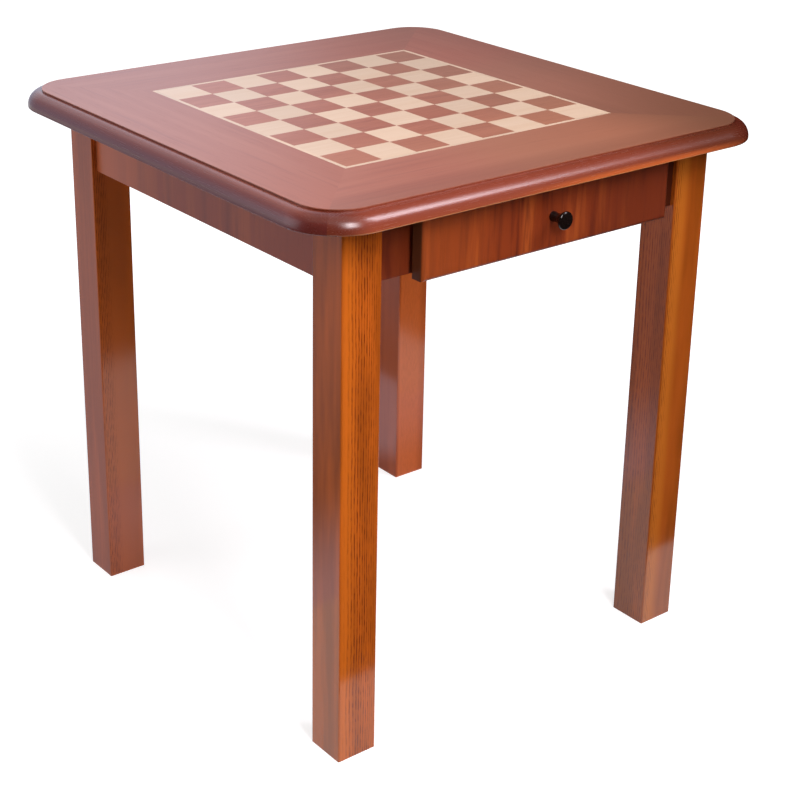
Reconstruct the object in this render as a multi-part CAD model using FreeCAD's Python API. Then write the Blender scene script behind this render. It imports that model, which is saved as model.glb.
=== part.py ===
"""Chess table: inlaid, moulded top on a four-leg frame with one drawer in the front rail.

Millimetres, +Z up. The origin is on the floor under the middle of the top, +X runs to the right
along the drawer side and -Y points out of the drawer side.
"""
import FreeCAD, Part
import math
import os

from FreeCAD import Vector

# Overall sizes
table_height = 740.0
top_thickness = 25.0
top_overhang = 51.0
edge_reach = 19.5
frame_depth = 625.0
side_setback = 13.5
leg_width = 57.0
leg_arris = 1.5

# Chessboard inlay
square = 53.0
squares_per_side = 8
stringing_width = 5.5
board_offset = -6.5
veneer = 1.0

# Moulded edge of the top
flat_corner_radius = 54.0
quirk_depth = 2.8
edge_land = 1.2
edge_arris = 1.8
core_corner_cover = 5.0

# Aprons and the divided front rail
apron_height = 85.0
apron_thickness = 20.0
apron_setback = 7.0
rail_height = 14.0

# Corner braces and their hanger bolts
brace_gap = 2.0
brace_thickness = 18.0
brace_height = 60.0
brace_clearance = 3.0
brace_screw_level_share = 0.25
bolt_radius = 4.0
bolt_depth_in_leg = 38.0
bolt_tail = 5.0
washer_radius = 10.0
washer_thickness = 1.6
nut_radius = 7.5
nut_height = 6.5
nut_sides = 6

# Dowels, brackets and screws
dowel_radius = 4.0
dowel_depth = 15.0
dowel_level_shares = (0.3, 0.7)
bracket_arm = 18.0
bracket_width = 16.0
bracket_thickness = 2.0
side_bracket_share = 0.4
back_bracket_share = 0.8
screw_radius = 2.0
screw_head_radius = 4.0
screw_head_height = 2.4
short_screw_length = 14.0
long_screw_length = 28.0
fit_clearance = 0.1

# Drawer guides
guide_thickness = 16.0
guide_height = 36.0
ledge_reach = 20.0
kicker_screw_shares = (0.12, 0.5, 0.88)
rail_screw_share = 0.6

# Drawer
front_overlap = 37.3
front_offset = 3.3
front_drop = 3.3
front_thickness = 20.0
front_top_gap = 3.0
front_round = 6.0
front_stand_off = 8.0
box_depth = 320.0
box_wall = 12.0
box_side_clearance = 1.5
box_top_clearance = 4.0
bottom_thickness = 5.0
bottom_lift = 6.0
groove_depth = 5.0
groove_clearance = 0.2
pin_radius = 2.5
pin_depth = 24.0
pin_level_shares = (0.25, 0.75)
front_screw_place_share = 0.75
stop_width = 60.0
stop_thickness = 14.0
stop_height = 42.0
stop_top_gap = 6.0
stop_screw_share = 0.3

# Knob
knob_length = 26.0
knob_base_radius = 6.5
knob_neck_radius = 6.1
knob_head_radius = 11.6
knob_foot_share = 0.1
knob_neck_share = 0.4
knob_flare_share = 0.74
knob_rim_share = 0.82
knob_crown_share = 0.9
knob_crown_radius_share = 0.9
knob_screw_grip = 13.0

# Length that a cutting tool runs past the face it leaves
overrun = 2.0

# Levels, from the floor up
top_under = table_height - top_thickness
veneer_under = table_height - veneer
apron_bottom = top_under - apron_height
apron_middle = apron_bottom + apron_height / 2
lower_rail_top = apron_bottom + rail_height
upper_rail_bottom = top_under - rail_height

# Plan of the top
flat_half = frame_depth / 2 + top_overhang - edge_reach
corner_centre = flat_half - flat_corner_radius
core_half = flat_half - flat_corner_radius * (1 - math.sqrt(0.5)) - core_corner_cover
field_half = square * squares_per_side / 2
inlay_half = field_half + stringing_width

# Plan of the frame
frame_width = frame_depth - 2 * side_setback
leg_inner_x = frame_width / 2 - leg_width
leg_inner_y = frame_depth / 2 - leg_width
apron_outer_x = frame_width / 2 - apron_setback
apron_outer_y = frame_depth / 2 - apron_setback
apron_inner_x = apron_outer_x - apron_thickness
apron_inner_y = apron_outer_y - apron_thickness
apron_centre_x = apron_outer_x - apron_thickness / 2
apron_centre_y = apron_outer_y - apron_thickness / 2

# Corner brace, measured along each apron from the leg's inner corner
apron_recess = leg_width - apron_setback - apron_thickness
brace_near = apron_recess + brace_gap * math.sqrt(2)
brace_far = brace_near + brace_thickness * math.sqrt(2)
brace_bottom = apron_middle - brace_height / 2

# Drawer opening, drawer front and drawer box
opening_half = leg_inner_x - brace_far - brace_clearance - guide_thickness
front_half = opening_half + front_overlap
front_back_y = -apron_outer_y - front_stand_off
front_face_y = front_back_y - front_thickness
front_top = top_under - front_top_gap
front_bottom = apron_bottom - front_drop
front_middle = (front_top + front_bottom) / 2
box_half = opening_half - box_side_clearance
box_inner = box_half - box_wall
box_bottom = lower_rail_top
box_top = upper_rail_bottom - box_top_clearance
box_front_inner_y = front_back_y + box_wall
box_rear_y = front_back_y + box_depth
box_rear_inner_y = box_rear_y - box_wall
floor_bottom = box_bottom + bottom_lift
floor_top = floor_bottom + bottom_thickness
guide_outer = opening_half + guide_thickness
ledge_inner = opening_half - ledge_reach

SIDES = {"left": -1, "right": 1}
ENDS = {"front": -1, "back": 1}
UP = Vector(0, 0, 1)
DOWN = Vector(0, 0, -1)


def block(x0, x1, y0, y1, z0, z1):
    """Box between two values on each axis, given in either order."""
    low = Vector(min(x0, x1), min(y0, y1), min(z0, z1))
    return Part.makeBox(abs(x1 - x0), abs(y1 - y0), abs(z1 - z0), low)


def prism(points, z0, z1):
    """Upright solid over a plan outline of (x, y) points."""
    corners = [Vector(x, y, z0) for x, y in points]
    return Part.Face(Part.makePolygon(corners + corners[:1])).extrude(UP * (z1 - z0))


def rod(start, direction, radius, length):
    return Part.makeCylinder(radius, length, start, direction)


def round_edges(shape, radius, chosen):
    """Fillet the straight edges whose middle and direction pass the test."""
    edges = [edge for edge in shape.Edges if chosen(edge.CenterOfMass, edge.tangentAt(edge.FirstParameter))]
    return shape.makeFillet(radius, edges)


def drill(piece, holes):
    return piece.cut(Part.makeCompound(holes))


def save(node, *solids):
    shape = solids[0] if len(solids) == 1 else Part.makeCompound(list(solids))
    shape.exportStep("parts/" + node + ".step")


def corner_point(side, end, u, v, z):
    """Point at u along X and v along Y from a leg's inner corner, both towards the middle."""
    return Vector(side * (leg_inner_x - u), end * (leg_inner_y - v), z)


def screw(seat, direction, length):
    """Pan-head wood screw: the head stands on the seat and the shank follows the direction."""
    head = rod(seat, -direction, screw_head_radius, screw_head_height)
    return head.fuse(rod(seat, direction, screw_radius, length)).removeSplitter()


def screw_hole(seat, direction, length):
    start = seat - direction * overrun
    return rod(start, direction, screw_radius + fit_clearance, length + overrun + fit_clearance)


# Top

def lipping_section(inner):
    """Moulded section in the YZ plane: inner edge, quirk, ovolo, land and lower arris."""
    inner_y, quirk_y, outer_y = -inner, -flat_half, -flat_half - edge_reach
    ovolo_top = table_height - quirk_depth
    ovolo_bottom = top_under + edge_arris + edge_land
    ovolo_height = ovolo_top - ovolo_bottom
    diagonal = math.sqrt(0.5)
    ovolo_mid = Vector(0, quirk_y - edge_reach * diagonal, ovolo_bottom + ovolo_height * diagonal)
    arris_mid = Vector(0, outer_y + edge_arris * (1 - diagonal), top_under + edge_arris * (1 - diagonal))
    start, shoulder = Vector(0, inner_y, veneer_under), Vector(0, quirk_y, veneer_under)
    quirk, nose = Vector(0, quirk_y, ovolo_top), Vector(0, outer_y, ovolo_bottom)
    heel, toe = Vector(0, outer_y, top_under + edge_arris), Vector(0, outer_y + edge_arris, top_under)
    end = Vector(0, inner_y, top_under)
    edges = [
        Part.LineSegment(start, shoulder).toShape(),
        Part.LineSegment(shoulder, quirk).toShape(),
        Part.Arc(quirk, ovolo_mid, nose).toShape(),
        Part.LineSegment(nose, heel).toShape(),
        Part.Arc(heel, arris_mid, toe).toShape(),
        Part.LineSegment(toe, end).toShape(),
        Part.LineSegment(end, start).toShape(),
    ]
    return Part.Face(Part.Wire(edges))


def front_lipping():
    """One moulded length, mitred on the diagonals, with half of each rounded corner."""
    section = lipping_section(core_half)
    straight = section.translated(Vector(-corner_centre, 0, 0)).extrude(Vector(2 * corner_centre, 0, 0))
    lipping = straight
    for side in SIDES.values():
        axis_point = Vector(side * corner_centre, -corner_centre, 0)
        start = section.translated(Vector(axis_point.x, 0, 0))
        lipping = lipping.fuse(start.revolve(axis_point, UP * side, 45))
    core_space = block(-core_half, core_half, -core_half, core_half, top_under - overrun, table_height)
    return lipping.cut(core_space).removeSplitter()


def make_panel():
    core_top = veneer_under
    core_bottom = top_under + veneer
    core = block(-core_half, core_half, -core_half, core_half, core_bottom, core_top)
    save("top_core", drill(core, top_holes))
    backing = block(-core_half, core_half, -core_half, core_half, top_under, core_bottom)
    save("backing_veneer", drill(backing, top_holes))
    lipping = front_lipping()
    for turn, name in enumerate(("front", "right", "back", "left")):
        save("edge_lipping_" + name, lipping.rotated(Vector(), UP, turn * 90))


def board_point(sx, sy, half):
    return (board_offset + sx * half, sy * half)


def ring_piece(inner, outer):
    """Veneer between an inner and an outer edge, each given by its two plan points."""
    return prism([inner[0], inner[1], outer[1], outer[0]], veneer_under, table_height)


def make_inlay():
    flat = block(-flat_half, flat_half, -flat_half, flat_half, veneer_under, table_height)
    flat = round_edges(flat, flat_corner_radius, lambda middle, way: abs(way.z) > abs(way.x) + abs(way.y))
    corners = ((-1, -1), (1, -1), (1, 1), (-1, 1))
    stringing = []
    for turn, name in enumerate(("front", "right", "back", "left")):
        ends = (corners[turn], corners[(turn + 1) % len(corners)])
        field = [board_point(sx, sy, field_half) for sx, sy in ends]
        inlay = [board_point(sx, sy, inlay_half) for sx, sy in ends]
        rim = [(sx * flat_half, sy * flat_half) for sx, sy in ends]
        stringing.append(ring_piece(field, inlay))
        save("border_veneer_" + name, ring_piece(inlay, rim).common(flat))
    save("stringing", *stringing)
    squares = {"dark_squares": [], "light_squares": []}
    for column in range(squares_per_side):
        for row in range(squares_per_side):
            node = "light_squares" if (column + row) % 2 else "dark_squares"
            x0 = board_offset - field_half + column * square
            y0 = -field_half + row * square
            squares[node].append(block(x0, x0 + square, y0, y0 + square, veneer_under, table_height))
    for node, tiles in squares.items():
        save(node, *tiles)


# Frame

def dowel_places():
    """Middle point and axis of every dowel in the frame."""
    places = []
    levels = [apron_bottom + apron_height * share for share in dowel_level_shares]
    for side in SIDES.values():
        for end in ENDS.values():
            for level in levels:
                places.append((Vector(side * apron_centre_x, end * leg_inner_y, level), Vector(0, 1, 0)))
                places.append((Vector(side * leg_inner_x, end * apron_centre_y, level), Vector(1, 0, 0)))
            guide_middle = side * (opening_half + guide_thickness / 2)
            guide_level = lower_rail_top + guide_height / 2
            places.append((Vector(guide_middle, end * apron_inner_y, guide_level), Vector(0, 1, 0)))
        for level in (apron_bottom + rail_height / 2, top_under - rail_height / 2):
            places.append((Vector(side * opening_half, -apron_centre_y, level), Vector(1, 0, 0)))
    return places


def dowels(clearance):
    solids = []
    for middle, axis in dowel_places():
        start = middle - axis * (dowel_depth + clearance)
        solids.append(rod(start, axis, dowel_radius + clearance, 2 * (dowel_depth + clearance)))
    return solids


def bolt_axis(side, end):
    """Leg corner point at bolt height and the direction from it into the table."""
    direction = Vector(-side, -end, 0).normalize()
    return corner_point(side, end, 0, 0, apron_middle), direction


def bolt_hole(side, end):
    corner, direction = bolt_axis(side, end)
    start = corner - direction * (bolt_depth_in_leg + fit_clearance)
    length = bolt_depth_in_leg + brace_gap + brace_thickness + overrun + washer_thickness
    return rod(start, direction, bolt_radius + fit_clearance, length)


def make_legs():
    for end_name, end in ENDS.items():
        for side_name, side in SIDES.items():
            outer_x, outer_y = side * frame_width / 2, end * frame_depth / 2
            leg = block(outer_x, side * leg_inner_x, outer_y, end * leg_inner_y, 0, top_under)
            leg = round_edges(leg, leg_arris, lambda middle, way: abs(way.z) > abs(way.x) + abs(way.y))
            save("leg_" + end_name + "_" + side_name, drill(leg, dowel_holes + [bolt_hole(side, end)]))


def make_aprons():
    holes = dowel_holes + apron_screw_holes
    for name, side in SIDES.items():
        apron = block(
            side * apron_outer_x, side * apron_inner_x, -leg_inner_y, leg_inner_y, apron_bottom, top_under
        )
        save("apron_" + name, drill(apron, holes))
        stub = block(
            side * leg_inner_x, side * opening_half, -apron_outer_y, -apron_inner_y, apron_bottom, top_under
        )
        save("front_apron_" + name, drill(stub, holes))
    back = block(-leg_inner_x, leg_inner_x, apron_outer_y, apron_inner_y, apron_bottom, top_under)
    save("apron_back", drill(back, holes))
    rails = {"lower": (apron_bottom, lower_rail_top), "upper": (upper_rail_bottom, top_under)}
    for name, (low, high) in rails.items():
        rail = block(-opening_half, opening_half, -apron_outer_y, -apron_inner_y, low, high)
        save("drawer_rail_" + name, drill(rail, dowel_holes + top_holes))


def brace_screws(side, end):
    """Seat and direction of the screws that hold a brace to its two aprons."""
    middle = (brace_near + brace_far) / 2
    seat = (brace_near - brace_far) / 4 + brace_far - apron_recess - middle
    level = brace_bottom + brace_height * brace_screw_level_share
    return [
        (corner_point(side, end, middle, seat, level), Vector(0, end, 0)),
        (corner_point(side, end, seat, middle, level), Vector(side, 0, 0)),
    ]


def hexagon(radius):
    """Outline of a nut, by the distance from its middle to its corners."""
    turns = [2 * math.pi * turn / nut_sides for turn in range(nut_sides)]
    corners = [Vector(radius * math.cos(turn), radius * math.sin(turn), 0) for turn in turns]
    return Part.makePolygon(corners + corners[:1])


def make_braces():
    bolts, washers, nuts, screws = [], [], [], []
    for end_name, end in ENDS.items():
        for side_name, side in SIDES.items():
            plan = [(brace_near, -apron_recess), (brace_far, -apron_recess),
                    (-apron_recess, brace_far), (-apron_recess, brace_near)]
            points = [corner_point(side, end, u, v, 0) for u, v in plan]
            brace = prism([(p.x, p.y) for p in points], brace_bottom, brace_bottom + brace_height)
            cuts = [bolt_hole(side, end)]
            for seat, direction in brace_screws(side, end):
                pocket_radius = screw_head_radius + fit_clearance
                cuts.append(rod(seat, -direction, pocket_radius, brace_thickness))
                cuts.append(screw_hole(seat, direction, short_screw_length))
                screws.append(screw(seat, direction, short_screw_length))
            save("corner_brace_" + end_name + "_" + side_name, drill(brace, cuts))

            corner, direction = bolt_axis(side, end)
            seat = corner + direction * (brace_gap + brace_thickness)
            nut_seat = seat + direction * washer_thickness
            bolt_end = nut_seat + direction * (nut_height + bolt_tail)
            bolt_start = corner - direction * bolt_depth_in_leg
            bolts.append(rod(bolt_start, direction, bolt_radius, (bolt_end - bolt_start).Length))
            bore_start = seat - direction * overrun
            bore = rod(bore_start, direction, bolt_radius + fit_clearance, bolt_depth_in_leg)
            washers.append(rod(seat, direction, washer_radius, washer_thickness).cut(bore))
            nut = Part.Face(hexagon(nut_radius)).extrude(UP * nut_height)
            nut.Placement = FreeCAD.Placement(nut_seat, FreeCAD.Rotation(UP, direction))
            nuts.append(nut.cut(bore))
    save("hanger_bolts", *bolts)
    save("bolt_washers", *washers)
    save("bolt_nuts", *nuts)
    save("brace_screws", *screws)


def bracket_places():
    """Top corner point of each bracket and the direction from its apron towards the middle."""
    places = []
    for side in SIDES.values():
        for step in SIDES.values():
            y = step * apron_inner_y * side_bracket_share
            places.append((Vector(side * apron_inner_x, y, top_under), Vector(-side, 0, 0)))
        x = side * ledge_inner * back_bracket_share
        places.append((Vector(x, apron_inner_y, top_under), Vector(0, -1, 0)))
    return places


def bracket_screws(corner, inward):
    reach = bracket_arm / 2 + bracket_thickness / 2
    into_top = (corner + inward * reach + DOWN * bracket_thickness, UP)
    into_apron = (corner + DOWN * reach + inward * bracket_thickness, -inward)
    return [into_top, into_apron]


def top_screw_places():
    """Seats of the long screws that go up through the kickers and the upper rail into the top."""
    seats = []
    run = 2 * apron_inner_y
    for side in SIDES.values():
        for share in kicker_screw_shares:
            x = side * (opening_half + guide_thickness / 2)
            seats.append(Vector(x, -apron_inner_y + run * share, upper_rail_bottom))
        seats.append(Vector(side * opening_half * rail_screw_share, -apron_centre_y, upper_rail_bottom))
    return seats


def make_top_fixings():
    brackets, screws = [], []
    for corner, inward in bracket_places():
        across = Vector(abs(inward.y), abs(inward.x), 0) * (bracket_width / 2)
        end = corner + inward * bracket_arm + DOWN * bracket_arm
        low, high = corner - across, end + across
        bracket = block(low.x, high.x, low.y, high.y, low.z, high.z)
        hollow_low = corner - across * 2 + (inward + DOWN) * bracket_thickness
        hollow_high = end + across * 2 + (inward + DOWN) * overrun
        bracket = bracket.cut(
            block(hollow_low.x, hollow_high.x, hollow_low.y, hollow_high.y, hollow_low.z, hollow_high.z)
        )
        places = bracket_screws(corner, inward)
        brackets.append(drill(bracket, [screw_hole(seat, way, short_screw_length) for seat, way in places]))
        screws += [screw(seat, way, short_screw_length) for seat, way in places]
    save("top_brackets", *brackets)
    save("bracket_screws", *screws)
    save("top_screws", *[screw(seat, UP, long_screw_length) for seat in top_screw_places()])


def make_drawer_guides():
    for name, side in SIDES.items():
        outer, middle, inner = side * guide_outer, side * opening_half, side * ledge_inner
        run = (-apron_inner_y, apron_inner_y)
        save("drawer_runner_" + name, block(outer, inner, *run, apron_bottom, lower_rail_top))
        guide = block(outer, middle, *run, lower_rail_top, lower_rail_top + guide_height)
        save("drawer_guide_" + name, drill(guide, dowel_holes))
        kicker = block(outer, inner, *run, upper_rail_bottom, top_under)
        save("drawer_kicker_" + name, drill(kicker, top_holes))


# Drawer

def pin_places():
    """Outer end and direction of each pin that joins a drawer side to the box front and back."""
    places = []
    for side in SIDES.values():
        for y in (front_back_y + box_wall / 2, box_rear_y - box_wall / 2):
            for share in pin_level_shares:
                level = floor_top + (box_top - floor_top) * share
                places.append((Vector(side * box_half, y, level), Vector(-side, 0, 0)))
    return places


def front_screw_places():
    places = []
    for side in SIDES.values():
        for share in pin_level_shares:
            level = floor_top + (box_top - floor_top) * share
            x = side * box_inner * front_screw_place_share
            places.append((Vector(x, box_front_inner_y, level), Vector(0, -1, 0)))
    return places


def stop_screw_places():
    level = box_top - box_wall
    rear = box_rear_y + stop_thickness
    return [(Vector(side * stop_width * stop_screw_share, rear, level), Vector(0, -1, 0))
            for side in SIDES.values()]


def knob_solid():
    """Turned mushroom knob on the middle of the drawer front, its axis along -Y."""
    def at(radius, share):
        return Vector(front_offset + radius, front_face_y - knob_length * share, front_middle)

    crown_radius = knob_head_radius * knob_crown_radius_share
    foot, neck = at(knob_base_radius, knob_foot_share), at(knob_neck_radius, knob_neck_share)
    flare, rim = at(crown_radius, knob_flare_share), at(knob_head_radius, knob_rim_share)
    crown = at(crown_radius, knob_crown_share)
    dome_height = knob_length * (1 - knob_crown_share)
    dome_radius = (crown_radius ** 2 + dome_height ** 2) / (2 * dome_height)
    half_turn = math.asin(crown_radius / dome_radius) / 2
    dome_drop = dome_radius * (1 - math.cos(half_turn))
    dome_mid = at(dome_radius * math.sin(half_turn), 1) + Vector(0, dome_drop, 0)
    waist = Part.BSplineCurve()
    waist.interpolate([foot, neck, flare])
    outline = [
        Part.LineSegment(at(0, 0), at(knob_base_radius, 0)),
        Part.LineSegment(at(knob_base_radius, 0), foot),
        waist,
        Part.Arc(flare, rim, crown),
        Part.Arc(crown, dome_mid, at(0, 1)),
        Part.LineSegment(at(0, 1), at(0, 0)),
    ]
    face = Part.Face(Part.Wire([curve.toShape() for curve in outline]))
    return face.revolve(at(0, 0), Vector(0, 1, 0), 360)


def make_drawer():
    knob_seat = Vector(front_offset, box_front_inner_y, front_middle)
    knob_screw_length = box_wall + front_thickness + knob_screw_grip
    knob_hole = screw_hole(knob_seat, Vector(0, -1, 0), knob_screw_length)
    front_holes = [screw_hole(seat, way, long_screw_length) for seat, way in front_screw_places()]
    pin_holes = []
    for start, way in pin_places():
        start = start - way * overrun
        pin_holes.append(rod(start, way, pin_radius + fit_clearance, pin_depth + overrun + fit_clearance))
    stop_screw_length = stop_thickness + box_wall
    stop_holes = [screw_hole(seat, way, stop_screw_length) for seat, way in stop_screw_places()]

    front_left, front_right = front_offset - front_half, front_offset + front_half
    front = block(front_left, front_right, front_face_y, front_back_y, front_bottom, front_top)
    front = round_edges(front, front_round, lambda middle, way: middle.y < front_face_y + front_round / 2)
    save("drawer_front", drill(front, front_holes + [knob_hole]))

    groove_reach = groove_depth + groove_clearance
    groove = block(
        -box_inner - groove_reach, box_inner + groove_reach,
        box_front_inner_y - groove_reach, box_rear_inner_y + groove_reach,
        floor_bottom, floor_top + groove_clearance,
    )
    for name, side in SIDES.items():
        wall = block(side * box_half, side * box_inner, front_back_y, box_rear_y, box_bottom, box_top)
        save("drawer_side_" + name, drill(wall, pin_holes + [groove]))
    inner_front = block(-box_inner, box_inner, front_back_y, box_front_inner_y, box_bottom, box_top)
    save("drawer_inner_front", drill(inner_front, pin_holes + front_holes + [groove, knob_hole]))
    rear = block(-box_inner, box_inner, box_rear_inner_y, box_rear_y, box_bottom, box_top)
    save("drawer_back", drill(rear, pin_holes + stop_holes + [groove]))
    floor = block(
        -box_inner - groove_depth, box_inner + groove_depth,
        box_front_inner_y - groove_depth, box_rear_inner_y + groove_depth,
        floor_bottom, floor_top,
    )
    save("drawer_bottom", floor)
    save("drawer_pins", *[rod(start, way, pin_radius, pin_depth) for start, way in pin_places()])
    front_screws = [screw(seat, way, long_screw_length) for seat, way in front_screw_places()]
    save("drawer_front_screws", *front_screws)

    stop_top = top_under - stop_top_gap
    stop_rear_y = box_rear_y + stop_thickness
    stop = block(-stop_width / 2, stop_width / 2, box_rear_y, stop_rear_y, stop_top - stop_height, stop_top)
    save("drawer_stop", drill(stop, stop_holes))
    save("stop_screws", *[screw(seat, way, stop_screw_length) for seat, way in stop_screw_places()])

    save("drawer_knob", drill(knob_solid(), [knob_hole]))
    save("knob_screw", screw(knob_seat, Vector(0, -1, 0), knob_screw_length))


os.makedirs("parts", exist_ok=True)
dowel_holes = dowels(fit_clearance)
apron_screw_holes = []
top_holes = [screw_hole(seat, UP, long_screw_length) for seat in top_screw_places()]
for corner, inward in bracket_places():
    into_top, into_apron = bracket_screws(corner, inward)
    top_holes.append(screw_hole(*into_top, short_screw_length))
    apron_screw_holes.append(screw_hole(*into_apron, short_screw_length))
for side in SIDES.values():
    for end in ENDS.values():
        for seat, way in brace_screws(side, end):
            apron_screw_holes.append(screw_hole(seat, way, short_screw_length))

make_panel()
make_inlay()
make_legs()
make_aprons()
make_braces()
make_top_fixings()
make_drawer_guides()
save("frame_dowels", *dowels(0))
make_drawer()
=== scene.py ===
"""Chess table with an inlaid board: its finishes, a plain pale studio and the photograph's camera."""

import math

import bpy
from mathutils import Matrix, Vector

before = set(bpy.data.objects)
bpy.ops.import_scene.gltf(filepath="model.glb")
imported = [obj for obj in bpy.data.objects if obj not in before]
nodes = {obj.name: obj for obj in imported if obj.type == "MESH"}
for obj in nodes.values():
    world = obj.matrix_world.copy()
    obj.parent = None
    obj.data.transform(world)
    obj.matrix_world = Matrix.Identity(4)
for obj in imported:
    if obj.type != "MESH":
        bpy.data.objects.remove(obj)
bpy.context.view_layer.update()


# Legs: four square posts of oak, each from its own board, planed, stained and sprayed with gloss lacquer.
# Oak has rows of open pores at the start of every year's ring; stain gathers there as fine dark lines.
def linear(colour):
    """Linear RGBA of an sRGB hex colour."""
    parts = [int(colour[i:i + 2], 16) / 255 for i in (1, 3, 5)]
    return [p / 12.92 if p <= 0.04045 else ((p + 0.055) / 1.055) ** 2.4 for p in parts] + [1]


def add(material, kind, inputs=None, **settings):
    """Adds one node; inputs gives each socket a value or another node's output."""
    node = material.node_tree.nodes.new(kind)
    for name, value in settings.items():
        setattr(node, name, value)
    for socket, value in (inputs or {}).items():
        if isinstance(value, bpy.types.NodeSocket):
            material.node_tree.links.new(value, node.inputs[socket])
        else:
            node.inputs[socket].default_value = value
    return node


def blank(name):
    """New material with an empty node tree."""
    material = bpy.data.materials.new(name)
    material.use_nodes = True
    material.node_tree.nodes.clear()
    return material


def dress(material, *names):
    """Puts one material on CAD nodes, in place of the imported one."""
    for name in names:
        slots = nodes[name].data.materials
        slots.clear()
        slots.append(material)


def strip(material, place, edges):
    """Mask across X, in mm: rises from edges[0] to edges[1] and falls from edges[2] to edges[3]."""
    start, full, fading, end = [edge / 1000 for edge in edges]
    across = add(material, "ShaderNodeSeparateXYZ", {0: place}).outputs[0]
    rise = add(material, "ShaderNodeMapRange", {"Value": across, "From Min": start, "From Max": full},
               interpolation_type="SMOOTHSTEP")
    fall = add(material, "ShaderNodeMapRange", {"Value": across, "From Min": end, "From Max": fading},
               interpolation_type="SMOOTHSTEP")
    both = add(material, "ShaderNodeMath", {0: rise.outputs[0], 1: fall.outputs[0]}, operation="MULTIPLY")
    return both.outputs[0]


def oak_leg(name, ground, streak, pith, lines, depth, sap, sapwood):
    """Stained oak. Pith is the plan point (x, y) in mm that the board's growth rings run round.

    Lines is the strip across X where the rings' pores have taken stain, and depth how dark they are;
    sapwood is a strip across X that is a lighter or redder cut, of the colour sap.
    """
    figure_width, figure_length, figure_start, figure_full = 26, 260, 0.36, 0.66
    waver_width, waver_length = 60, 240
    ring_width, ring_waver, ring_edge, ring_heart = 2.2, 5.0, 0.75, 0.15
    # The real pores are 0.3 mm wide, too fine to show, so these dashes are drawn 1.2 mm wide.
    pore_width, pore_length, pore_start, pore_full = 1.2, 12, 0.42, 0.6
    pore_depth = 0.01
    ring_stain, pore_stain = "#8A3E0E", "#5C2408"
    lacquer_roughness, pore_roughness = 0.12, 0.2
    material = blank(name)
    place = add(material, "ShaderNodeTexCoord").outputs["Object"]
    figure = add(material, "ShaderNodeMapping", {
        "Vector": place, "Scale": (1000 / figure_width, 1000 / figure_width, 1000 / figure_length)})
    figure = add(material, "ShaderNodeTexNoise", {"Vector": figure.outputs[0], "Scale": 1, "Detail": 3})
    reach = add(material, "ShaderNodeVectorMath",
                {0: place, 1: (pith[0] / 1000, pith[1] / 1000, 0)}, operation="SUBTRACT")
    reach = add(material, "ShaderNodeVectorMath", {0: reach.outputs[0], 1: (1, 1, 0)}, operation="MULTIPLY")
    reach = add(material, "ShaderNodeVectorMath", {0: reach.outputs[0]}, operation="LENGTH")
    waver = add(material, "ShaderNodeMapping", {
        "Vector": place, "Location": (3.1, 1.7, 0.4),
        "Scale": (1000 / waver_width, 1000 / waver_width, 1000 / waver_length)})
    waver = add(material, "ShaderNodeTexNoise", {"Vector": waver.outputs[0], "Scale": 1, "Detail": 4})
    reach = add(material, "ShaderNodeMath", {
        0: waver.outputs[0], 1: ring_waver / 1000, 2: reach.outputs["Value"]}, operation="MULTIPLY_ADD")
    rings = add(material, "ShaderNodeMath", {0: reach.outputs[0], 1: 2000 / ring_width}, operation="MULTIPLY")
    rings = add(material, "ShaderNodeMath", {0: rings.outputs[0], 1: 1}, operation="PINGPONG")
    rings = add(material, "ShaderNodeMapRange", {
        "Value": rings.outputs[0], "From Min": ring_edge, "From Max": ring_heart},
        interpolation_type="SMOOTHSTEP")
    rings = add(material, "ShaderNodeMath", {0: rings.outputs[0], 1: strip(material, place, lines)},
                operation="MULTIPLY")
    pores = add(material, "ShaderNodeMapping", {
        "Vector": place, "Scale": (1000 / pore_width, 1000 / pore_width, 1000 / pore_length)})
    pores = add(material, "ShaderNodeTexNoise", {"Vector": pores.outputs[0], "Scale": 1, "Detail": 2})
    pores = add(material, "ShaderNodeMapRange", {
        "Value": pores.outputs[0], "From Min": pore_start, "From Max": pore_full},
        interpolation_type="SMOOTHSTEP")
    pores = add(material, "ShaderNodeMath", {0: pores.outputs[0], 1: rings.outputs[0]}, operation="MULTIPLY")
    tone = add(material, "ShaderNodeMapRange", {
        "Value": figure.outputs[0], "From Min": figure_start, "From Max": figure_full},
        interpolation_type="SMOOTHSTEP")
    colour = add(material, "ShaderNodeMix", {0: tone.outputs[0], 6: linear(ground), 7: linear(streak)},
                 data_type="RGBA")
    colour = add(material, "ShaderNodeMix", {
        0: strip(material, place, sapwood), 6: colour.outputs[2], 7: linear(sap)}, data_type="RGBA")
    year = add(material, "ShaderNodeMath", {0: rings.outputs[0], 1: 0.5 * depth}, operation="MULTIPLY")
    colour = add(material, "ShaderNodeMix", {
        0: year.outputs[0], 6: colour.outputs[2], 7: linear(ring_stain)}, data_type="RGBA")
    stain = add(material, "ShaderNodeMath", {0: pores.outputs[0], 1: depth}, operation="MULTIPLY")
    colour = add(material, "ShaderNodeMix", {
        0: stain.outputs[0], 6: colour.outputs[2], 7: linear(pore_stain)}, data_type="RGBA")
    rough = add(material, "ShaderNodeMapRange", {
        "Value": pores.outputs[0], "To Min": lacquer_roughness, "To Max": pore_roughness})
    sunk = add(material, "ShaderNodeBump", {
        "Height": pores.outputs[0], "Strength": 0.5, "Distance": pore_depth / 1000}, invert=True)
    surface = add(material, "ShaderNodeBsdfPrincipled", {
        "Base Color": colour.outputs[2], "Roughness": rough.outputs[0], "Normal": sunk.outputs[0],
        "IOR": 1.5})
    add(material, "ShaderNodeOutputMaterial", {"Surface": surface.outputs[0]})
    return material


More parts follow.
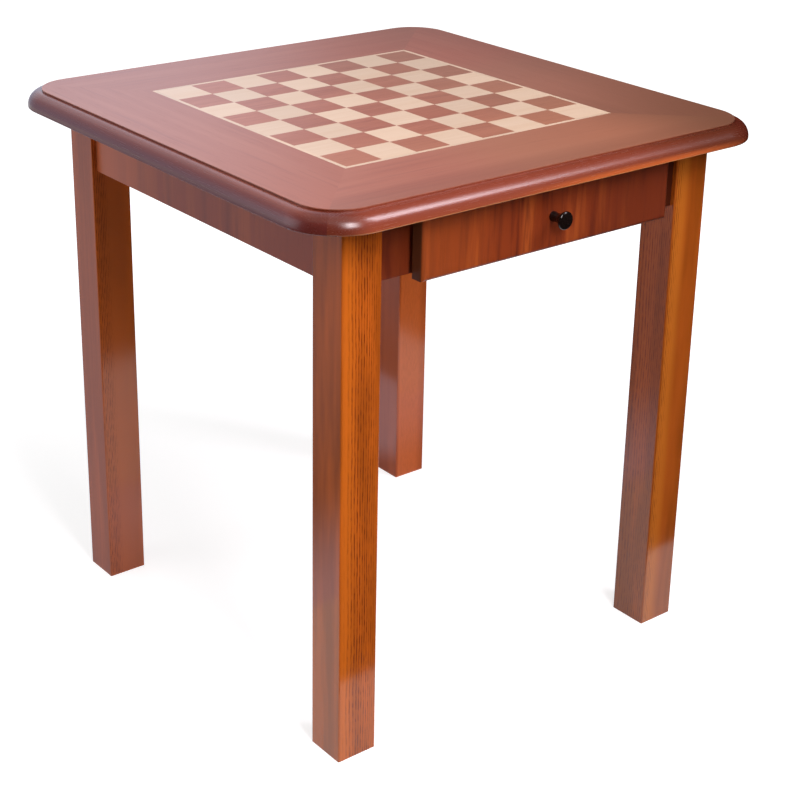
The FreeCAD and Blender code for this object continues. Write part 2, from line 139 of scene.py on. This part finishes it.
legs = [
    ("front_left", "#C05E18", "#A04E12", (-320, -238), (-300, -272, -260, -236), 0.78,
     "#C8661A", (-299, -294, -290, -270)),
    ("front_right", "#A04E16", "#884210", (322, -235), (230, 235, 246, 262), 0.66,
     "#B4641E", (242, 247, 254, 274)),
    ("back_left", "#C46224", "#AE561E", (-352, 296), (-299.5, -297, -288, -274), 0.8,
     "#B25A26", (-298, -290, -260, -240)),
    # Partly painted light: the back right leg's ground and sap are set lighter, standing for strong light on
    # its front face.
    ("back_right", "#BC5A26", "#AC5020", (340, 250), (246, 252, 290, 296), 0.2,
     "#D26A30", (243, 248, 280, 299)),
]
for corner, *board in legs:
    dress(oak_leg("oak_stained_gloss_" + corner, *board), "leg_" + corner)


# Aprons and the ends beside the drawer: board faced with mahogany veneer whose grain stands upright.
# Broad upright bands of red-brown and orange show under a satin lacquer; the aprons are painted lighter and
# more orange towards the back, painted light.
def wood(name, grain, ground, layers, finish, bands=(), tile=None):
    """Timber with its grain along one axis, in the piece's own coordinates.

    Each layer is (colour, mm across the grain, mm along it, noise level where it starts, level where
    it is full, strength). The last layer is the pores, which are also rougher, and sunk by the bump.
    Finish holds the roughness, the specular level and the pores' depth in mm.
    Each band is (colour, axis, mm where it starts, mm where it is full, strength); the axis "corner" runs
    along the plan's diagonals.
    Tile is the corner (x, y) and the side of separate squares, in mm: each gets its own cut and tone.
    """
    layer_shift = 7.3
    pore_roughness = 0.15
    darkest_tile, lightest_tile = 0.93, 1.06
    roughness, specular, pore_depth = finish
    material = blank(name)
    place = add(material, "ShaderNodeTexCoord").outputs["Object"]
    colour = linear(ground)
    if bands:
        axes = add(material, "ShaderNodeSeparateXYZ", {0: place}).outputs
        out_x = add(material, "ShaderNodeMath", {0: axes["X"]}, operation="ABSOLUTE")
        out_y = add(material, "ShaderNodeMath", {0: axes["Y"]}, operation="ABSOLUTE")
        diagonal = add(material, "ShaderNodeMath", {0: out_x.outputs[0], 1: out_y.outputs[0]},
                       operation="MINIMUM")
        along = {"X": axes["X"], "Y": axes["Y"], "Z": axes["Z"], "corner": diagonal.outputs[0]}
    if tile:
        (tile_x, tile_y), side = tile
        cell = add(material, "ShaderNodeVectorMath",
                   {0: place, 1: (tile_x / 1000, tile_y / 1000, 0)}, operation="SUBTRACT")
        cell = add(material, "ShaderNodeVectorMath", {0: cell.outputs[0], "Scale": 1000 / side},
                   operation="SCALE")
        cell = add(material, "ShaderNodeVectorMath", {0: cell.outputs[0], 1: (1, 1, 0)}, operation="MULTIPLY")
        cell = add(material, "ShaderNodeVectorMath", {0: cell.outputs[0]}, operation="FLOOR")
        chance = add(material, "ShaderNodeTexWhiteNoise", {"Vector": cell.outputs[0]})
        cut = add(material, "ShaderNodeVectorMath", {0: place, 1: chance.outputs["Color"]}, operation="ADD")
        place = cut.outputs[0]
    for number, (tint, across, length, start, full, strength) in enumerate(layers):
        size = [1000 / across] * 3
        size["XYZ".index(grain)] = 1000 / length
        spot = add(material, "ShaderNodeMapping", {
            "Vector": place, "Location": (number * layer_shift,) * 3, "Scale": size})
        noise = add(material, "ShaderNodeTexNoise", {
            "Vector": spot.outputs[0], "Scale": 1, "Detail": 3, "Roughness": 0.55})
        mask = add(material, "ShaderNodeMapRange", {
            "Value": noise.outputs[0], "From Min": start, "From Max": full, "To Max": strength},
            interpolation_type="SMOOTHSTEP")
        colour = add(material, "ShaderNodeMix", {0: mask.outputs[0], 6: colour, 7: linear(tint)},
                     data_type="RGBA").outputs[2]
    pores = mask.outputs[0]
    for tint, axis, start, full, strength in bands:
        share = add(material, "ShaderNodeMapRange", {
            "Value": along[axis], "From Min": start / 1000, "From Max": full / 1000, "To Max": strength},
            interpolation_type="SMOOTHSTEP")
        colour = add(material, "ShaderNodeMix", {0: share.outputs[0], 6: colour, 7: linear(tint)},
                     data_type="RGBA").outputs[2]
    if tile:
        tone = add(material, "ShaderNodeMapRange", {
            "Value": chance.outputs["Value"], "To Min": darkest_tile, "To Max": lightest_tile})
        colour = add(material, "ShaderNodeHueSaturation", {
            "Value": tone.outputs[0], "Color": colour}).outputs[0]
    rough = add(material, "ShaderNodeMapRange", {
        "Value": pores, "To Min": roughness, "To Max": min(1, roughness + pore_roughness)})
    sunk = add(material, "ShaderNodeBump", {
        "Height": pores, "Strength": 0.6, "Distance": pore_depth / 1000}, invert=True)
    surface = add(material, "ShaderNodeBsdfPrincipled", {
        "Base Color": colour, "Roughness": rough.outputs[0], "Normal": sunk.outputs[0], "IOR": 1.5,
        "Specular IOR Level": specular})
    add(material, "ShaderNodeOutputMaterial", {"Surface": surface.outputs[0]})
    return material


# Painted light: the band along Y paints the aprons lighter towards the back.
apron_veneer = wood("mahogany_veneer_upright_satin", "Z", "#9C4624", [
    ("#B05628", 38, 420, 0.46, 0.68, 0.7),
    ("#702E18", 28, 300, 0.48, 0.74, 0.5),
    ("#4A1A0C", 1.6, 40, 0.56, 0.70, 0.2),
], (0.34, 0.52, 0.02), [("#DC7648", "Y", 60, 270, 0.75)])
# Painted shade: the ends beside the drawer get a darker copy of the apron veneer, and the band along X paints
# the right end darker still.
stub_veneer_painted_shade = wood("mahogany_veneer_stub_painted_shade_satin", "Z", "#702C12", [
    ("#783214", 16, 60, 0.48, 0.70, 0.8),
    ("#521C0C", 12, 90, 0.50, 0.72, 0.6),
    ("#40160A", 1.6, 40, 0.56, 0.70, 0.2),
], (0.34, 0.3, 0.05), [("#40180A", "X", 150, 200, 0.95)])
dress(apron_veneer, "apron_left", "apron_right", "apron_back")
dress(stub_veneer_painted_shade, "front_apron_left", "front_apron_right")


# Rails over and under the drawer opening: stained beech strips glued and dowelled between the apron ends.
# Their grain runs along them, and the stain leaves a dull dark brown.
stained_rail = wood("beech_stained_rail", "X", "#6E3218", [
    ("#8A4420", 12, 300, 0.45, 0.70, 0.7),
    ("#4A1E0E", 3, 90, 0.52, 0.70, 0.5),
    ("#38140A", 1.2, 8, 0.60, 0.70, 0.5),
], (0.45, 0.4, 0.05))
dress(stained_rail, "drawer_rail_lower", "drawer_rail_upper")


# Corner braces, dowels, and the drawer's runners, guides and kickers: planed beech, left bare.
# Beech has short brown flecks on a pale pinkish ground.
def bare_beech(name, grain):
    return wood(name, grain, "#C9A077", [
        ("#B5875C", 18, 400, 0.42, 0.70, 0.7),
        ("#D8B68F", 5, 160, 0.50, 0.74, 0.6),
        ("#8A5E3A", 1.4, 7, 0.62, 0.70, 0.55),
    ], (0.6, 0.3, 0.05))


beech_along_x = bare_beech("beech_planed_grain_x", "X")
beech_along_y = bare_beech("beech_planed_grain_y", "Y")
dress(beech_along_x, "frame_dowels", *["corner_brace_" + corner for corner, *board in legs])
dress(beech_along_y, *["drawer_" + kind + "_" + side for kind in ("runner", "guide", "kicker")
                       for side in ("left", "right")])


# Bolts, washers, nuts, screws and brackets: steel, zinc plated and slightly dulled.
# The plating gives a pale grey metal with fine cloudy patches.
spangle_size = 2.5
zinc = blank("steel_zinc_plated")
spangle = add(zinc, "ShaderNodeTexNoise", {
    "Vector": add(zinc, "ShaderNodeTexCoord").outputs["Object"], "Scale": 1000 / spangle_size, "Detail": 4})
plated = add(zinc, "ShaderNodeMix", {0: spangle.outputs[0], 6: linear("#8E9093"), 7: linear("#C9CBCC")},
             data_type="RGBA")
cloudy = add(zinc, "ShaderNodeMapRange", {"Value": spangle.outputs[0], "To Min": 0.28, "To Max": 0.5})
zinc_surface = add(zinc, "ShaderNodeBsdfPrincipled", {
    "Base Color": plated.outputs[2], "Metallic": 1, "Roughness": cloudy.outputs[0]})
add(zinc, "ShaderNodeOutputMaterial", {"Surface": zinc_surface.outputs[0]})
dress(zinc, "hanger_bolts", "bolt_washers", "bolt_nuts", "brace_screws", "top_brackets", "bracket_screws",
      "top_screws", "drawer_front_screws", "stop_screws", "knob_screw")


# Core of the top and the balancing veneer under it: panel board, sanded and left plain.
# Seen only from below, where it is a dull brown with a faint grain.
core_board = wood("panel_board_sanded", "X", "#A98660", [
    ("#8F6C48", 30, 500, 0.42, 0.70, 0.6),
    ("#B99873", 6, 200, 0.48, 0.72, 0.6),
    ("#7A5838", 1.6, 20, 0.58, 0.70, 0.5),
], (0.7, 0.3, 0.05))
dress(core_board, "top_core", "backing_veneer")


# Moulded edge: four solid mahogany lengths, run through a moulder, mitred in the rounded corners,
# stained dark and sprayed with gloss lacquer. Lower down each length is recoloured, partly thinner stain and
# partly painted light and shade: painted orange on the front, where the lamps face it, more faintly on the
# back, and painted darker and mauve on the sides, painted shade with a painted reflection. A thin orange line
# along the last arris is partly stain rubbed through and partly a painted highlight, weaker on the sides.
# The rounded corners are darker.
def moulding(name, grain, shine, bands):
    return wood(name, grain, "#7A3826", [
        ("#8C4630", 20, 500, 0.45, 0.70, 0.5),
        ("#66301E", 5, 220, 0.50, 0.72, 0.35),
        ("#542216", 1.4, 30, 0.58, 0.70, 0.2),
    ], (0.27, shine, 0.003), bands + [("#561E12", "corner", 290, 330, 0.75)])


# Painted shade: the bands along X paint the front length darker brown towards its right end; it is redder
# towards its left.
moulding_front = moulding("mahogany_moulded_gloss_front", "X", 0.6, [
    ("#5A2A18", "X", 70, 270, 0.85),
    ("#C0602E", "Z", 725, 718, 0.8),
    ("#843F2E", "X", 60, -110, 0.8),
    ("#CF8248", "Z", 717.2, 716.2, 0.8),
    ("#522416", "X", 190, 330, 0.75),
])
moulding_back = moulding("mahogany_moulded_gloss_back", "X", 0.5, [
    ("#8E4426", "Z", 726, 720, 0.5),
    ("#CF8248", "Z", 717.2, 716.2, 0.8),
])
moulding_sides = moulding("mahogany_moulded_gloss_sides", "Y", 0.42, [
    ("#602E36", "Z", 736, 724, 0.8),
    ("#A8622E", "Z", 717.2, 716.2, 0.4),
])
dress(moulding_front, "edge_lipping_front")
dress(moulding_back, "edge_lipping_back")
dress(moulding_sides, "edge_lipping_left", "edge_lipping_right")


# Border of the top: mahogany veneer, mitred at the corners, its grain along each side.
# Satin lacquer over red-brown with thin darker streaks. The front and right lengths are painted browner
# and darker towards the corner that they share, and the back length towards its right end: painted shade
# for light that falls off to the right and front. The lighter, warmer middle stretches of the front and right
# lengths are partly painted sheen.
def border(side, grain, bands):
    veneer = wood("mahogany_veneer_satin_" + side, grain, "#A65F47", [
        ("#B06B52", 24, 600, 0.42, 0.68, 0.6),
        ("#95513E", 7, 300, 0.52, 0.72, 0.5),
        ("#7C3E2E", 1.5, 50, 0.58, 0.72, 0.3),
    ], (0.36, 0.5, 0.01), bands)
    dress(veneer, "border_veneer_" + side)


border("front", "X", [
    ("#AA7250", "X", -160, 20, 0.5),
    ("#704A34", "X", 120, 340, 0.85),
    ("#6E4432", "Y", -280, -335, 0.3),
])
border("right", "Y", [
    ("#9C6A50", "Y", 160, 20, 0.5),
    ("#5E3E2A", "Y", -20, -330, 0.55),
    ("#5E3E2A", "X", 230, 345, 0.25),
])
border("back", "X", [("#74503A", "X", 120, 340, 0.35)])
border("left", "Y", [])


# Stringing round the board and the light squares: maple veneer, nearly plain cream under satin lacquer.
# The dark squares are cut from mahogany like the border's, all with the grain along X.
board_corner = (-218.5, -212)
square_side = 53
maple = wood("maple_veneer_satin", "X", "#E2C4A6", [
    ("#DDBA97", 18, 300, 0.45, 0.70, 0.45),
    ("#E8CDB3", 5, 120, 0.50, 0.72, 0.4),
    ("#D6B08E", 1.5, 18, 0.60, 0.72, 0.2),
], (0.36, 0.5, 0.01), tile=(board_corner, square_side))
dark_square = wood("mahogany_veneer_squares", "X", "#A95F41", [
    ("#B97054", 16, 300, 0.42, 0.68, 0.6),
    ("#954D36", 5, 120, 0.52, 0.70, 0.6),
    ("#763828", 1.5, 30, 0.58, 0.72, 0.4),
], (0.36, 0.5, 0.01), [
    ("#A0785A", "X", -60, 200, 0.4),
    ("#BC7A58", "Y", -100, -200, 0.4),
], (board_corner, square_side))
dress(maple, "stringing", "light_squares")
dress(dark_square, "dark_squares")


# Drawer box: beech sides, back and inner front, pinned together, with a plywood bottom in grooves
# and a beech stop. All is sanded and left bare, so it is pale and dull.
dress(beech_along_y, "drawer_side_left", "drawer_side_right")
dress(beech_along_x, "drawer_inner_front", "drawer_back", "drawer_stop", "drawer_pins")
plywood = wood("birch_plywood_sanded", "X", "#D8BC94", [
    ("#C7A67A", 24, 400, 0.42, 0.70, 0.6),
    ("#E4CDAA", 7, 200, 0.48, 0.72, 0.5),
    ("#AF8A5E", 1.5, 24, 0.60, 0.72, 0.4),
], (0.65, 0.3, 0.03))
dress(plywood, "drawer_bottom")


# Drawer front: a board with rounded front edges, screwed to the box and veneered with upright grain.
# The sheet has orange streaks and runs from lighter orange at the left to darker at the right;
# its two ends are edged with a dark strip.
drawer_veneer = wood("mahogany_veneer_drawer_satin", "Z", "#7E3212", [
    ("#A44E1C", 17, 200, 0.48, 0.68, 0.7),
    ("#561E10", 9, 140, 0.48, 0.68, 0.75),
    ("#501C0E", 1.6, 40, 0.54, 0.70, 0.4),
], (0.34, 0.3, 0.05), [
    ("#9E4A1A", "X", -40, -180, 0.5),
    ("#642814", "X", 0, 130, 0.7),
    ("#5A321C", "X", 204.6, 205.2, 1),
    ("#5A321C", "X", -198, -198.6, 1),
])
dress(drawer_veneer, "drawer_front")


# Knob: turned, enamelled gloss black, held by a screw from inside the drawer.
# A thin dipped coat leaves a faint orange peel, so its highlights waver.
peel_size, peel_depth = 1.8, 0.1
enamel = blank("enamel_gloss_black")
peel = add(enamel, "ShaderNodeTexNoise", {
    "Vector": add(enamel, "ShaderNodeTexCoord").outputs["Object"], "Scale": 1000 / peel_size, "Detail": 2})
black = add(enamel, "ShaderNodeMix", {0: peel.outputs[0], 6: linear("#0A0706"), 7: linear("#1A110F")},
            data_type="RGBA")
ripple = add(enamel, "ShaderNodeBump", {
    "Height": peel.outputs[0], "Strength": 0.15, "Distance": peel_depth / 1000})
enamel_surface = add(enamel, "ShaderNodeBsdfPrincipled", {
    "Base Color": black.outputs[2], "Normal": ripple.outputs[0], "Roughness": 0.14, "IOR": 1.5})
add(enamel, "ShaderNodeOutputMaterial", {"Surface": enamel_surface.outputs[0]})
dress(enamel, "drawer_knob")


# Studio floor: pale paper that reads as white and keeps a soft shadow under the table.
# Its glow rises with distance from the table, painted light that makes it fully white away from the table.
def background(material):
    """1 for the rays that show the background itself: from the camera, off gloss or through glass."""
    rays = add(material, "ShaderNodeLightPath").outputs
    seen = add(material, "ShaderNodeMath", {0: rays["Is Camera Ray"], 1: rays["Is Glossy Ray"]},
               operation="MAXIMUM")
    seen = add(material, "ShaderNodeMath", {0: seen.outputs[0], 1: rays["Is Transmission Ray"]},
               operation="MAXIMUM")
    return seen.outputs[0]


floor_size = 12
fibre_size = 8
shadow_radius, white_radius, shadow_white = 0.5, 1.6, 0.72
floor_mesh = bpy.data.meshes.new("studio_floor")
floor_mesh.from_pydata([(sx * floor_size / 2, sy * floor_size / 2, 0) for sx, sy in
                        ((-1, -1), (1, -1), (1, 1), (-1, 1))], [], [(0, 1, 2, 3)])
floor = bpy.data.objects.new("studio_floor", floor_mesh)
bpy.context.scene.collection.objects.link(floor)
paper = blank("paper_matt_white")
place = add(paper, "ShaderNodeTexCoord").outputs["Object"]
fibre = add(paper, "ShaderNodeTexNoise", {"Vector": place, "Scale": 1000 / fibre_size, "Detail": 2})
tone = add(paper, "ShaderNodeMix", {0: fibre.outputs[0], 6: linear("#BEBEBE"), 7: linear("#C2C2C2")},
           data_type="RGBA")
away = add(paper, "ShaderNodeVectorMath", {0: place}, operation="LENGTH")
# Painted light: the paper's glow grows from shadow_white near the table to 1 at white_radius.
white = add(paper, "ShaderNodeMapRange", {
    "Value": away.outputs["Value"], "From Min": shadow_radius, "From Max": white_radius,
    "To Min": shadow_white, "To Max": 1}, interpolation_type="SMOOTHSTEP")
lift = add(paper, "ShaderNodeMath", {0: background(paper), 1: white.outputs[0]}, operation="MULTIPLY")
matt = add(paper, "ShaderNodeBsdfPrincipled", {
    "Base Color": tone.outputs[2], "Roughness": 1, "Specular IOR Level": 0, "Emission Color": (1, 1, 1, 1),
    "Emission Strength": lift.outputs[0]})
add(paper, "ShaderNodeOutputMaterial", {"Surface": matt.outputs[0]})
floor_mesh.materials.append(paper)


# Dark felt: a screen round the front and both sides, a ceiling, and more of it on the floor round a white
# sheet under the table's front, so that the lacquer mirrors a dark room, open to white at the back left.
# Only reflections see it, and parts of it glow cool white: painted light for the bright places that the
# lacquer mirrors, behind the table and in given directions round it.
screen_radius, screen_height = 3.4, 3.4
screen_start, screen_end = math.radians(-106), math.radians(168)
sheet_front, sheet_back, sheet_left, sheet_right = 0.45, 0.01, 0.66, 0.65
felt_rise = 0.002
nap_size = 30
glow_radius, glow_overlap, glow_depth, glow_strength = 1.1, 0.02, 0.3, 1.2
cool_white = linear("#DCE6FF")
# Each is (degrees from the front where the painted glow starts to change, degrees where it has changed, the
# glow from there on, added to what came before).
painted_glow_places = ((122, 140, 0.36), (142, 156, 0.95), (-90, -150, 0.75), (-150, -178, -0.52))
least_divisor = 0.01
turns = [math.radians(a) for a in range(-180, 181, 5)]
ring = [(screen_radius * math.sin(a), -screen_radius * math.cos(a)) for a in turns]
near = [min(sheet_front / max(math.cos(a), least_divisor), sheet_back / max(-math.cos(a), least_divisor),
            sheet_left / max(-math.sin(a), least_divisor), sheet_right / max(math.sin(a), least_divisor))
        for a in turns]
points = [(x, y, felt_rise) for x, y in ring] + [(x, y, screen_height) for x, y in ring]
points += [(r * math.sin(a), -r * math.cos(a), felt_rise) for r, a in zip(near, turns)]
count = len(turns)
faces = [tuple(range(count, 2 * count))]
for i in range(count - 1):
    faces.append((i, i + 1, 2 * count + i + 1, 2 * count + i))
    if screen_start < turns[i] < screen_end:
        faces.append((i, i + 1, count + i + 1, count + i))
screen_mesh = bpy.data.meshes.new("dark_screen")
screen_mesh.from_pydata(points, [], faces)
screen = bpy.data.objects.new("dark_screen", screen_mesh)
bpy.context.scene.collection.objects.link(screen)
screen.visible_camera = False
screen.visible_diffuse = False
screen.visible_transmission = False
screen.visible_shadow = False
felt = blank("felt_black_painted_glow")
place = add(felt, "ShaderNodeTexCoord").outputs["Object"]
nap = add(felt, "ShaderNodeTexNoise", {"Vector": place, "Scale": 1000 / nap_size, "Detail": 2})
dark = add(felt, "ShaderNodeMix", {0: nap.outputs[0], 6: linear("#0C0A09"), 7: linear("#1A1614")},
           data_type="RGBA")
round_front = add(felt, "ShaderNodeMapping", {"Vector": place, "Rotation": (0, 0, math.radians(90))})
turn = add(felt, "ShaderNodeTexGradient", {"Vector": round_front.outputs[0]}, gradient_type="RADIAL")
shape = add(felt, "ShaderNodeSeparateXYZ", {0: place}).outputs
behind = add(felt, "ShaderNodeMath", {0: shape["Y"], 1: sheet_back - glow_overlap}, operation="GREATER_THAN")
close = add(felt, "ShaderNodeVectorMath", {0: place}, operation="LENGTH")
close = add(felt, "ShaderNodeMath", {0: close.outputs["Value"], 1: glow_radius}, operation="LESS_THAN")
close = add(felt, "ShaderNodeMath", {0: behind.outputs[0], 1: close.outputs[0]}, operation="MULTIPLY")
fade = add(felt, "ShaderNodeMapRange", {
    "Value": shape["Y"], "From Min": sheet_back, "From Max": sheet_back + glow_depth,
    "To Min": glow_strength, "To Max": 0}, interpolation_type="SMOOTHSTEP")
glow = add(felt, "ShaderNodeMath", {0: close.outputs[0], 1: fade.outputs[0]}, operation="MULTIPLY")
for start, full, amount in painted_glow_places:
    glow_step = add(felt, "ShaderNodeMapRange", {
        "Value": turn.outputs["Fac"], "From Min": 0.5 + start / 360, "From Max": 0.5 + full / 360,
        "To Max": amount}, interpolation_type="SMOOTHSTEP")
    glow = add(felt, "ShaderNodeMath", {0: glow.outputs[0], 1: glow_step.outputs[0]}, operation="ADD")
cloth = add(felt, "ShaderNodeBsdfPrincipled", {
    "Base Color": dark.outputs[2], "Roughness": 1, "Specular IOR Level": 0, "Emission Color": cool_white,
    "Emission Strength": glow.outputs[0]})
add(felt, "ShaderNodeOutputMaterial", {"Surface": cloth.outputs[0]})
screen_mesh.materials.append(felt)


# Studio light: a white room, a softbox in front, another at the front right, and wide dim ones
# at the left, overhead and behind.
room_light = 0.2
world = bpy.data.worlds.new("studio_white")
bpy.context.scene.world = world
world.use_nodes = True
world.node_tree.nodes.clear()
level = add(world, "ShaderNodeMapRange", {"Value": background(world), "To Min": room_light, "To Max": 1})
# Painted reflection: reflections see the room tinted cool white, while all other rays see it plain white.
mirrored = add(world, "ShaderNodeLightPath").outputs["Is Glossy Ray"]
cool = add(world, "ShaderNodeMix", {0: mirrored, 6: (1, 1, 1, 1), 7: cool_white}, data_type="RGBA")
sky = add(world, "ShaderNodeBackground", {"Color": cool.outputs[2], "Strength": level.outputs[0]})
add(world, "ShaderNodeOutputWorld", {"Surface": sky.outputs[0]})


def softbox(name, colour, azimuth, elevation, distance, width, height, level):
    """Lamp facing the table's middle; level 1 lights a facing white sheet to white."""
    target = Vector((0, 0, 0.5))
    turn = (Matrix.Rotation(math.radians(azimuth), 4, "Z")
            @ Matrix.Rotation(math.radians(90 - elevation), 4, "X"))
    lamp = bpy.data.lights.new(name, "AREA")
    lamp.shape = "RECTANGLE"
    lamp.size = width
    lamp.size_y = height
    lamp.color = linear(colour)[:3]
    lamp.energy = level * (math.pi * distance) ** 2
    box = bpy.data.objects.new(name, lamp)
    box.matrix_world = Matrix.Translation(target + turn.to_3x3() @ Vector((0, 0, distance))) @ turn
    bpy.context.scene.collection.objects.link(box)


softbox("key_front", "#FFF6FA", -16, 35, 2.4, 0.45, 1, 0.62)
softbox("front_right", "#F8F0FA", 37, 44.5, 2.8, 0.55, 1.2, 0.5)
softbox("left", "#FFFFFF", -115, 14, 2.6, 1.6, 1.6, 0.16)
softbox("overhead", "#FFFFFF", -60, 70, 2.4, 2.4, 2.4, 0.22)
softbox("back", "#F6F8FF", 170, 38, 2.8, 2.4, 2.4, 0.12)


# Camera: a long lens in front of the table's left corner, well above the top and tilted down.
# The frame sits below the lens axis, as a cropped picture's does.
lens_place = (-1.3891, -1.7677, 1.3327)
lens_axis_turn = 38.891
lens_axis_drop = 20.918
lens_axis_roll = 1.146
camera = bpy.data.cameras.new("camera")
camera.sensor_width = 36
camera.lens = 78.026
camera.shift_y = -0.1397
viewer = bpy.data.objects.new("camera", camera)
viewer.matrix_world = (Matrix.Translation(lens_place)
                       @ Matrix.Rotation(math.radians(-lens_axis_turn), 4, "Z")
                       @ Matrix.Rotation(math.radians(90 - lens_axis_drop), 4, "X")
                       @ Matrix.Rotation(math.radians(lens_axis_roll), 4, "Z"))
bpy.context.scene.collection.objects.link(viewer)
bpy.context.scene.camera = viewer
bpy.context.scene.view_settings.view_transform = "Standard"
